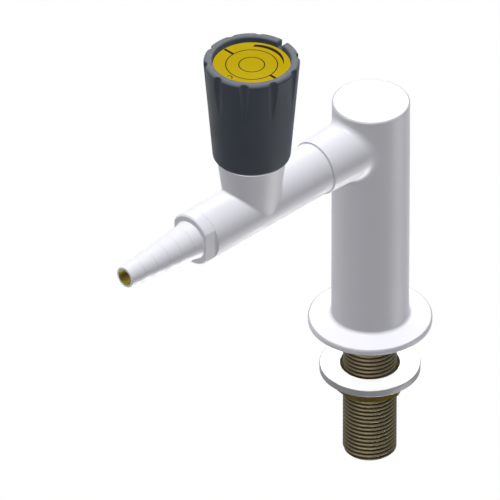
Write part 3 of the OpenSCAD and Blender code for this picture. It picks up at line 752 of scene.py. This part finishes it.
# %% Column
sleeve_root_r = sleeve_end_r + sleeve_l * sleeve_draft
sleeve_blend, sleeve_reach, head_depth = 2.6, 17.0, 0.8
arm_socket_r, arm_socket_start = 8.0, 16.5
sleeve_top = rounded([
    (arm_socket_start, 0, 0),
    (arm_socket_start, arm_socket_r, crisp),
    (sleeve_l, arm_socket_r, crisp),
    (sleeve_l, sleeve_end_r, broken),
    (sleeve_l - 1.0, sleeve_end_r + sleeve_draft, 0),
])
column_grids, column_angles = tee(
    column_r, -sleeve_reach, column_h - arm_z - head_depth, sleeve_root_r, -sleeve_draft,
    sleeve_blend, sleeve_top,
)
gasket_in_r, gasket_out_r, gasket_t = 13.0, 21.0, 1.0
shank_seat, seat_r = 1.0, thread_r + 0.05
spigot_socket_r, spigot_socket_top = 9.0, 14.0
riser_r, riser_top = 6.0, 93.0
coat_edge = 0.6
base = rounded([
    (arm_z - sleeve_reach, column_r, 0),
    (flange_t + flange_rise, column_r, flange_fillet),
    (flange_t, flange_r, coat_edge),
    (0, flange_r, 0.25),
    (0, gasket_out_r, crisp),
    (gasket_t, gasket_out_r, crisp / 2),
    (gasket_t, gasket_in_r, crisp / 2),
    (0, gasket_in_r, crisp),
    (0, seat_r, crisp),
    (shank_seat, seat_r, crisp / 2),
    (shank_seat, spigot_socket_r, crisp),
    (spigot_socket_top, spigot_socket_r, crisp),
    (spigot_socket_top, riser_r, crisp),
    (riser_top, riser_r, crisp),
    (riser_top, 0, 0),
])
head = rounded(
    [(column_h - head_depth, column_r, 0), (column_h, column_r, coat_edge), (column_h, 0, 0)],
    guard=0.04,
)
column_grids = [(on_column(grid, arm_z), closed) for grid, closed in column_grids]
column_grids += [(on_column(turned(part, column_angles)), True) for part in (base, head)]
make_piece("column_coated", column_grids, white_coating, "tap_body", ["column"])

# %% [markdown]
# ## Valve body
#
# The barrel of the arm carries the conical boss that the knob turns on. The same function makes it,
# laid along the arm. Its rear end is the spigot in the column's sleeve, its front end the socket of
# the hose nozzle, and the boss is bored for the headwork.

# %% Valve body
boss_root_r = boss_r - boss_h * boss_taper
boss_blend, boss_reach = 0.9, 16.0
chamber_r, headwork_r, headwork_deep = 8.0, 9.0, 10.9
boss_top = rounded([
    (0, 0, 0),
    (0, chamber_r, crisp),
    (boss_h - headwork_deep, chamber_r, crisp),
    (boss_h - headwork_deep, headwork_r, crisp),
    (boss_h, headwork_r, eased),
    (boss_h, boss_r, crisp),
    (boss_h - 1.0, boss_r - boss_taper, 0),
])
body_grids, body_angles = tee(
    arm_r, -boss_reach, boss_reach, boss_root_r, boss_taper, boss_blend, boss_top
)
arm_spigot_r, nozzle_socket_r, nozzle_socket_l = 7.95, 7.0, 7.5
rear = rounded([
    (valve_y - boss_reach, arm_r, 0),
    (sleeve_l, arm_r, eased),
    (sleeve_l, arm_spigot_r, crisp),
    (barrel_start, arm_spigot_r, broken),
    (barrel_start, 0, 0),
])
front = rounded([
    (valve_y + boss_reach, arm_r, 0),
    (barrel_end, arm_r, eased),
    (barrel_end, nozzle_socket_r, eased),
    (barrel_end - nozzle_socket_l, nozzle_socket_r, crisp),
    (barrel_end - nozzle_socket_l, 0, 0),
])
body_grids = [(on_arm(grid, valve_y), closed) for grid, closed in body_grids]
body_grids += [(on_arm(turned(part, body_angles)), True) for part in (rear, front)]
make_piece(
    "valve_body_coated", body_grids, barrel_coating, "tap_body", ["valve_body"]
)

# %% [markdown]
# ## Hose nozzle
#
# The nozzle is turned: a collar with two spanner flats, then a tapered tail with five serrations
# that grip the hose. The flats are cut by holding the radius to half the width across flats over the
# cosine of the angle, so two angles lie exactly on each flat's edge.

# %% Profile of the nozzle
nozzle_spigot_r, nozzle_spigot_l = 6.95, 6.5
crest_round, tip_round = 0.12, 0.25
crests = first_crest + serration_pitch * np.arange(serrations)
crest_radii = tail_root_r - (tail_root_r - tail_tip_r) * (crests - tail_start) / (tip_y - tail_start)
feet = np.column_stack([crests - serration_step / 2, crest_radii - serration_step])
teeth = np.stack([feet, np.column_stack([crests, crest_radii])], 1).reshape(-1, 2)
teeth = np.column_stack([teeth, np.full(len(teeth), crest_round)])
nozzle_profile = rounded([
    (barrel_end - nozzle_spigot_l, bore_r, crisp),
    (barrel_end - nozzle_spigot_l, nozzle_spigot_r, broken),
    (barrel_end, nozzle_spigot_r, crisp / 2),
    (barrel_end, arm_r, eased),
    (tail_start - collar_chamfer, arm_r, tip_round),
    (tail_start, arm_r - collar_chamfer, tip_round),
    (tail_start, tail_root_r, broken),
    *teeth,
    (tip_y, tail_tip_r, tip_round),
    (tip_y, bore_r, 0.15),
], steps=4, guard=0.04, closed=True)
print("crests along the arm", np.round(crests, 2), "with radii", np.round(crest_radii, 2))

# %% Hose nozzle
flat_edge, stops = math.acos(nozzle_af / 2 / arm_r), 17
quarter_turn = np.concatenate(
    [np.linspace(0, flat_edge, stops)[:-1], np.linspace(flat_edge, math.pi / 2, stops)[:-1]]
)
half_turn = np.concatenate([quarter_turn, math.pi - quarter_turn[:0:-1], [math.pi / 2]])
half_turn = np.unique(np.round(half_turn, 9))
nozzle_angles = np.concatenate([half_turn, half_turn + math.pi]) + math.pi / 2
nozzle_grid = turned(nozzle_profile, nozzle_angles)
spread, nozzle_along = np.abs(nozzle_grid[..., 0]), nozzle_grid[..., 1]
hair = 1e-6
on_collar = (nozzle_along > barrel_end + 1000 * hair) & (nozzle_along <= tail_start + hair)
cut_off = on_collar & (spread > nozzle_af / 2)
nozzle_grid[..., 0] *= np.where(cut_off, nozzle_af / 2 / np.maximum(spread, hair), 1.0)
make_piece(
    "hose_nozzle_coated", [(on_arm(nozzle_grid), True)], nozzle_coating,
    "tap_body", ["hose_nozzle"],
)

# %% [markdown]
# ## Threaded shank
#
# A half-inch pipe thread is one helical groove. A texture could fake it, but its ridges show on the
# outline, so it is modelled: the rows of the grid climb with the helix by one pitch a turn, and the
# radius only depends on where a point lies between two crests. At both ends the heights are held to
# the shank's length, which gathers the rows into a flat ring.


# %% Radius of the thread
full_v = pitch / 2 / math.tan(math.radians(55 / 2))
thread_lift, thread_round = 0.4, 0.16


def soft_clamp(value, low, high, blend):
    """value held between low and high, with corners rounded over about blend."""
    value = 0.5 * (value + high - np.sqrt((value - high) ** 2 + blend**2))
    return 0.5 * (value + low + np.sqrt((value - low) ** 2 + blend**2))


def thread_radius(z, angle):
    """Crest radius less the groove's depth. The groove is a V of 55 degrees and the height full_v,
    cut off at the crest and the root; its phase is z / pitch less the share of the turn. A chamfer
    of 45 degrees limits the radius at the lower end."""
    phase = np.mod((z - thread_lift) / pitch - angle / (2 * math.pi), 1.0)
    depth = full_v * (1 - np.abs(2 * phase - 1)) - (full_v - thread_depth) / 2
    radius = thread_r - soft_clamp(depth, 0.0, thread_depth, thread_round)
    return np.minimum(radius, thread_r - shank_chamfer + (z - shank_low))


thread_angles = np.linspace(0, 2 * math.pi, 97)
print("thread's radius from", round(thread_r - thread_depth, 2), "to", round(thread_r, 2), "mm")

# %% Threaded shank
rows_per_pitch = 14
shank_bore_r, shank_spigot_r, shank_spigot_start = 5.0, 8.95, 0.95


def upright(radius, z):
    """Points at a radius and a height on each angle of the thread: (radius cos, radius sin, z)."""
    radius, z, angle = np.broadcast_arrays(radius, z, thread_angles)
    return np.stack([radius * np.cos(angle), radius * np.sin(angle), z], -1)


def flat_ring(first, second, z):
    """Two rows at height z, at the radii first and second, which make a flat ring."""
    first, second, _ = np.broadcast_arrays(first, second, thread_angles)
    return upright(np.stack([first, second]), z)


climb = pitch * thread_angles / (2 * math.pi)
row_step = pitch / rows_per_pitch
rows = np.arange(shank_low - pitch, row_step, row_step)[:, None]
heights = np.clip(rows + climb, shank_low, 0.0)
inner = rounded([
    (shank_low, inlet_r, 0),
    (shank_low + inlet_l, inlet_r, crisp),
    (shank_low + inlet_l, shank_bore_r, crisp),
    (spigot_top, shank_bore_r, eased),
    (spigot_top, shank_spigot_r, 0.4),
    (shank_spigot_start, shank_spigot_r, crisp),
    (shank_spigot_start, thread_r, crisp),
    (0, thread_r, 0),
])
shank_grids = [
    upright(thread_radius(heights, thread_angles), heights),
    upright(inner[:, 1:], inner[:, :1]),
    flat_ring(inlet_r, thread_radius(shank_low, thread_angles), shank_low),
    flat_ring(thread_r, thread_radius(0.0, thread_angles), 0.0),
]
make_piece(
    "threaded_shank_helical", [(grid, False) for grid in shank_grids], aged_brass,
    "tap_body", ["threaded_shank"], crease=50,
)

# %% [markdown]
# ## Washer and nut
#
# The backing washer is a plain turned ring with broken edges, plated, with its top painted lighter as a
# reflection. The nut is a hexagon whose lower corners are chamfered by a cone: on each angle the cone
# runs out from the bearing circle until it meets the flat, and from there the flat goes straight up.

# %% Backing washer
round_angles = np.radians(np.linspace(0, 360, 129)[:-1])
washer_edge = 0.35
washer_profile = rounded([
    (washer_low, washer_bore_r, eased),
    (washer_low, washer_r, washer_edge),
    (washer_top, washer_r, washer_edge),
    (washer_top, washer_bore_r, eased),
], closed=True)
make_piece(
    "backing_washer_plated", [(on_column(turned(washer_profile, round_angles)), True)], plated_steel,
    "clamp_washer", ["backing_washer"],
)

# %% Backnut
per_side = 12
side_turn = np.linspace(-math.pi / 6, math.pi / 6, per_side + 1)[:-1]
nut_angles = np.concatenate([side_turn + k * math.pi / 3 for k in range(6)])
flat_reach = nut_af / 2 / np.cos(np.tile(side_turn, 6))
nut_break, bearing_inset, edge_drop = 0.25, 0.2, 0.15
bearing_r = nut_af / 2 - bearing_inset
crown_reach = np.minimum(flat_reach, nut_af / math.sqrt(3) - nut_break)
cone_rise = math.tan(math.radians(30))
nut_rows = [
    # radius, height
    (nut_bore_r + nut_break, nut_low),
    (bearing_r, nut_low),
    (crown_reach, nut_low + (crown_reach - bearing_r) * cone_rise),
    (crown_reach, nut_top - edge_drop),
    (crown_reach - nut_break, nut_top),
    (nut_bore_r + nut_break, nut_top),
    (nut_bore_r, nut_top - nut_break),
    (nut_bore_r, nut_low + nut_break),
    (nut_bore_r + nut_break, nut_low),
]
nut_radii, nut_heights = (
    np.stack([value + 0 * flat_reach for value in values]) for values in zip(*nut_rows)
)
nut_grid = np.stack([nut_radii * np.sin(nut_angles), nut_heights, nut_radii * np.cos(nut_angles)], -1)
make_piece(
    "backnut_hexagon", [(on_column(nut_grid), True)], dull_brass,
    "clamp_nut", ["backnut"], crease=20,
)

# %% [markdown]
# ## Knob
#
# The knob is one moulding: a conical grip with ten finger flutes that run out towards its middle, a
# rim that stands round the disc, and a notch through that rim as a pointer. All of it is one closed
# profile turned round the valve's axis, with three changes by formula. Each flute takes the smaller
# of the profile's own radius and a round cutter's, with a soft corner between. The cut fades across
# the top of the rim. Inside the notch the heights are squeezed down to the disc's level.

# %% Profile of the knob
cone_slope = (knob_r - knob_low_r) / (knob_top - knob_low)
hub_r, hub_low, plate_low = 8.5, knob_low + 20.6, disc_low - 3.15
bush_r, bush_top = 6.05, knob_low + 34.4
screw_r, screw_head_r, head_low = 1.7, 3.5, disc_low - 2.75
foot_round, shoulder_round, lip_round = 1.7, 1.2, 0.65
seam_up, seam_down, longest_span = 1.0, 2.0, 0.8
disc_seat = disc_low - 0.05
skirt_low_r = knob_low_r - knob_wall
skirt_top_r = skirt_low_r + (plate_low - knob_low) * cone_slope
knob_inside = rounded([
    (knob_top - seam_down, rim_r, 0),
    (disc_seat, rim_r, crisp),
    (disc_seat, screw_head_r, crisp),
    (head_low, screw_head_r, crisp),
    (head_low, screw_r, crisp),
    (bush_top, screw_r, crisp),
    (bush_top, bush_r, crisp),
    (hub_low, bush_r, crisp),
    (hub_low, hub_r, broken),
    (plate_low, hub_r, 0.5),
    (plate_low, skirt_top_r, 0.5),
    (knob_low + seam_up, skirt_low_r + seam_up * cone_slope, 0),
])
knob_outside = rounded([
    (knob_low + seam_up, skirt_low_r + seam_up * cone_slope, 0),
    (knob_low, skirt_low_r, broken),
    (knob_low, knob_low_r, foot_round),
    (knob_top, knob_r, shoulder_round),
    (knob_top, rim_r, lip_round),
    (knob_top - seam_down, rim_r, 0),
], steps=8)


def refine(profile, longest):
    """The profile with extra points, so that no span is longer than longest."""
    spans = np.linalg.norm(np.diff(profile, axis=0), axis=-1)
    counts = np.maximum(1, np.ceil(spans / longest).astype(int))
    starts = np.repeat(np.arange(len(spans)), counts)
    shares = np.concatenate([np.arange(n) / n for n in counts])[:, None]
    made = profile[starts] + shares * (profile[starts + 1] - profile[starts])
    return np.concatenate([made, profile[-1:]])


knob_profile = np.concatenate([knob_inside[:-1], refine(knob_outside, longest_span)])
keep = np.concatenate([[True], np.linalg.norm(np.diff(knob_profile, axis=0), axis=-1) > 1e-6])
knob_profile = knob_profile[keep]
print("knob's profile:", len(knob_profile), "points, wall", knob_wall, "mm")

# %% [markdown]
# Three functions shape the grip. They take arrays of radii, heights and angles, with the angle
# measured from the notch, where one of the flutes has its middle too.

# %% Columns, flutes and notch
notch_turn = math.pi / 2
notch_spread = 17.0
notch_round, notch_floor = 0.6, disc_top - 1.2
cutter_r = knob_r - flute_depth + flute_r
flute_side, flute_soft = 6.0, 0.30


def straighten(turn, radius):
    """Angles turned so that the columns near the notch run parallel to it, not at the axis.

    A column keeps the sideways distance notch_spread * sin(angle), so its sine at a radius is that
    distance over the radius. The change is whole within turn_fade radians of the notch and from
    full_r outwards, and it is gone at twice turn_fade and inside start_r.
    """
    turn_fade, start_r, full_r, least_r = 0.12, 10.0, 14.0, 12.0
    near = np.clip(2 - np.abs(turn) / turn_fade, 0, 1)
    near = near * np.clip((radius - start_r) / (full_r - start_r), 0, 1)
    sine = notch_spread * np.sin(turn) / np.maximum(radius, least_r)
    return turn + near * (np.arcsin(np.clip(sine, -1, 1)) - turn)


def flute_cut(turn, radius):
    """What the flutes take off the profile's own radius.

    A round cutter of radius flute_r runs at cutter_r from the axis. Its near side is at
    cutter_r * cos(a) - sqrt(flute_r^2 - (cutter_r * sin(a))^2), where a is the angle from the
    flute's middle, and beside the cutter that wall is taken on outwards, steeper than the cone. The
    cut is the radius less a rounded minimum of the two, less what the rounding alone takes.
    """
    step = 2 * math.pi / flutes
    off = np.mod(turn + step / 2, step) - step / 2
    across = cutter_r * np.sin(off)
    groove = cutter_r * np.cos(off) - np.sqrt(np.maximum(flute_r**2 - across**2, 0.0))
    groove = groove + flute_side * np.maximum(np.abs(across) - flute_r, 0.0)
    gap = groove - radius
    limited = 0.5 * (radius + groove - np.sqrt(gap**2 + flute_soft**2))
    rounding = flute_soft**2 / 4 / np.maximum(np.abs(gap), flute_soft / 2)
    return np.maximum(radius - limited - rounding, 0.0)


def notched(turn, radius, height):
    """Heights with the notch pressed into the rim.

    Within notch_half of its middle nothing of the rim is left above the disc, and over the next
    notch_round the rest comes back as a quarter circle. What lies above notch_floor scales with it.
    Only what is on the notch's side, from the rim outwards, is changed.
    """
    sideways = np.abs(radius * np.sin(turn))
    past = np.clip(sideways - notch_half, 0, notch_round)
    fall = np.sqrt(np.maximum(notch_round**2 - (notch_round - past) ** 2, 0.0))
    share = np.where(sideways < notch_half, 0.0, 1 - (notch_round - fall) / (knob_top - disc_top))
    share = np.where((np.abs(turn) < 0.5) & (radius > rim_r - 0.01), share, 1.0)
    target = disc_top + share * (knob_top - disc_top)
    scale = (target - notch_floor) / (knob_top - notch_floor)
    return np.where(height > notch_floor, notch_floor + (height - notch_floor) * scale, height)


# %% Knob
beside_notch = notch_half + np.array([-0.04, 0.01, 0.06, 0.15, 0.3, 0.5, 0.65])
extra = np.concatenate([[0.0], beside_notch]) / notch_spread
degrees_apart, flute_start, fade_start, fade_width = 0.8, 6.0, 0.6, 0.8
even_turns = np.radians(np.arange(0, 360, degrees_apart))
knob_angles = np.concatenate([even_turns, notch_turn + extra, notch_turn - extra])
knob_angles = np.unique(np.round(knob_angles, 7))
height, radius = knob_profile[:, :1], knob_profile[:, 1:]
turn = np.mod(knob_angles - notch_turn + math.pi, 2 * math.pi) - math.pi
turn = straighten(turn, radius)
# the outside of the grip is cut from flute_start up, and the cut fades across the top of the rim
on_grip = np.arange(len(knob_profile))[:, None] >= len(knob_inside) - 1
on_grip = on_grip & (height >= knob_low + flute_start)
fade = np.clip((radius - rim_r - fade_start) / fade_width, 0, 1)
radius = radius - np.where(on_grip, flute_cut(turn, radius) * fade, 0.0)
height = notched(turn, radius, height)
around = turn + notch_turn
knob_grid = np.stack([radius * np.cos(around), radius * np.sin(around) - valve_y, height], -1)
make_piece(
    "knob_fluted", [(knob_grid, True)], grey_plastic, "handle", ["knob"], crease=40
)

# %% [markdown]
# ## Pieces that stay as the CAD made them
#
# The disc, its printed marks and everything inside the valve already have their true shape, so they
# keep their CAD meshes. They only get the right finish.

# %% Finishes of the CAD pieces
finishes = {
    "yellow_plastic": yellow_plastic,
    "dial_print": dial_print,
    "bright_brass": bright_brass,
    "spring_steel": spring_steel,
    "black_rubber": black_rubber,
    "grey_rubber": grey_rubber,
    "fibre": fibre,
}
slots = {part["node"]: part["material_slot"] for part in frame["record"]["subparts"]}
kept = {node: piece for node, piece in frame["nodes"].items() if not piece.hide_render}
for node, piece in kept.items():
    piece.visible_diffuse = False
    piece.data.materials.clear()
    piece.data.materials.append(finishes[slots[node]])
print(len(kept), "CAD pieces are kept:", *kept)

# %% [markdown]
# ## Floor and backdrop
#
# The photograph's ground is plain white. A real studio does that with a pale table and a sweep that
# is lit on its own, so the light on the object doesn't have to be strong. Here the floor shows
# camera, glossy and transmission rays mostly its own white, and keeps a little of the object's
# shadow. From below it is clear, so that a view from there sees the object too.


# %% Floor
def seen_rays(tree):
    """1 for camera, glossy and transmission rays, and 0 for all others."""
    path = tree.nodes.new("ShaderNodeLightPath").outputs
    seen = sums(tree, "MAXIMUM", path["Is Camera Ray"], path["Is Glossy Ray"])
    return sums(tree, "MAXIMUM", seen, path["Is Transmission Ray"])


def mix_shaders(tree, share, first, second):
    """Node that mixes the shaders of two nodes by a share."""
    node = tree.nodes.new("ShaderNodeMixShader")
    feed(tree, share, node.inputs["Fac"])
    tree.links.new(first.outputs[0], node.inputs[1])
    tree.links.new(second.outputs[0], node.inputs[2])
    return node


OWN_WHITE = 0.85
reach, below = 3.0, 0.0002
level = shank_low * MM - below
floor_mesh = bpy.data.meshes.new("studio_floor")
floor_corners = [(x * reach, y * reach, level) for x, y in ((-1, -1), (1, -1), (1, 1), (-1, 1))]
floor_mesh.from_pydata(floor_corners, [], [(0, 1, 2, 3)])
studio_floor = add_object("studio_floor", floor_mesh)
floor_paint = bpy.data.materials.new("studio_floor")
floor_paint.use_nodes = True
tree = floor_paint.node_tree
tree.nodes.clear()
matt = tree.nodes.new("ShaderNodeBsdfDiffuse")
matt.inputs["Color"].default_value = (0.9, 0.9, 0.9, 1)
own_white = tree.nodes.new("ShaderNodeEmission")
clear = tree.nodes.new("ShaderNodeBsdfTransparent")
from_below = tree.nodes.new("ShaderNodeNewGeometry").outputs["Backfacing"]
upper = mix_shaders(tree, sums(tree, "MULTIPLY", seen_rays(tree), OWN_WHITE), matt, own_white)
output = tree.nodes.new("ShaderNodeOutputMaterial")
tree.links.new(mix_shaders(tree, from_below, upper, clear).outputs[0], output.inputs["Surface"])
floor_mesh.materials.append(floor_paint)
studio_floor.visible_diffuse = False
studio_floor.visible_shadow = False
print("floor at", round(level / MM, 2), "mm, just below the shank's end")

# %% [markdown]
# ## Light
#
# The photograph is lit from all round by soft lamps and shows hardly a shadow on the object: flange
# and washer stay white under the arm. Broad sun lamps do that when they cast no shadow. Each has a
# direction, a width and a strength, and only a weak one overhead casts a soft shadow. Pieces bounce
# no light onto each other, because the photograph shows none. A dim world, which does cast shadows,
# adds the little darkening where pieces meet, and camera, glossy and transmission rays see it as
# plain white.

# %% Lamps
LAMPS = [
    # name, azimuth and elevation in degrees, width in degrees, strength, casts shadows
    ("ceiling", -108, 78, 36, 1.85, False),
    ("ceiling_shade", -108, 78, 50, 0.38, True),
    ("high_right", 0, 55, 36, 0.16, False),
    ("high_back", 135, 55, 36, 0.13, False),
    ("high_front", -90, 55, 36, 0.46, False),
    ("side_right", 0, 30, 36, 0.03, False),
    ("side_back", 131, 30, 36, 0.67, False),
    ("low_left", -152, -20, 36, 0.12, False),
    ("return_right", 42, -45, 36, 0.54, False),
    ("return", 72, -72, 36, 1.34, False),
    ("return_below", -20, -84, 36, 0.85, False),
]
for label, azimuth, elevation, width, strength, shadows in LAMPS:
    a, e = math.radians(azimuth), math.radians(elevation)
    data = bpy.data.lights.new(label, "SUN")
    data.energy, data.angle, data.use_shadow = strength, math.radians(width), shadows
    data.cycles.use_multiple_importance_sampling = shadows
    lamp = add_object(label, data)
    towards = Vector((math.cos(e) * math.cos(a), math.cos(e) * math.sin(a), math.sin(e)))
    lamp.location = towards
    lamp.rotation_mode = "QUATERNION"
    lamp.rotation_quaternion = towards.to_track_quat("Z", "Y")
print(len(LAMPS), "sun lamps")

# %% World
AMBIENT = 0.10
world = bpy.data.worlds.new("studio")
bpy.context.scene.world = world
world.use_nodes = True
tree = world.node_tree
tree.nodes.clear()
light = tree.nodes.new("ShaderNodeBackground")
light.inputs["Strength"].default_value = AMBIENT
light.inputs["Color"].default_value = (0.985, 0.99, 1.0, 1)
white = tree.nodes.new("ShaderNodeBackground")
white.inputs["Color"].default_value = (1, 1, 1, 1)
output = tree.nodes.new("ShaderNodeOutputWorld")
tree.links.new(mix_shaders(tree, seen_rays(tree), light, white).outputs[0], output.inputs["Surface"])
print("world: white where it is seen, light of strength", AMBIENT)

# %% [markdown]
# ## Camera
#
# The photograph is an isometric view: all three axes are equally foreshortened. A very long lens
# from far away gives that view. The aim is a point given along the picture's own right and up.

# %% Camera
lens, sensor, frame_width = 1500.0, 36.0, 0.1925
aim_right, aim_up = -0.04624, 0.02676
back = Vector((1, -1, 1)).normalized()
right = Vector((1, 1, 0)).normalized()
up = back.cross(right)
distance = frame_width * lens / sensor
camera_data = bpy.data.cameras.new("camera")
camera_data.lens, camera_data.sensor_width = lens, sensor
camera_data.clip_start, camera_data.clip_end = 0.1, 3 * distance
camera = add_object("camera", camera_data)
camera.location = right * aim_right + up * aim_up + back * distance
camera.rotation_mode = "QUATERNION"
camera.rotation_quaternion = (-back).to_track_quat("-Z", "Y")
bpy.context.scene.camera = camera
bpy.context.scene.view_settings.view_transform = "Standard"
print("camera", round(distance, 2), "m away, frame", frame_width, "m wide")
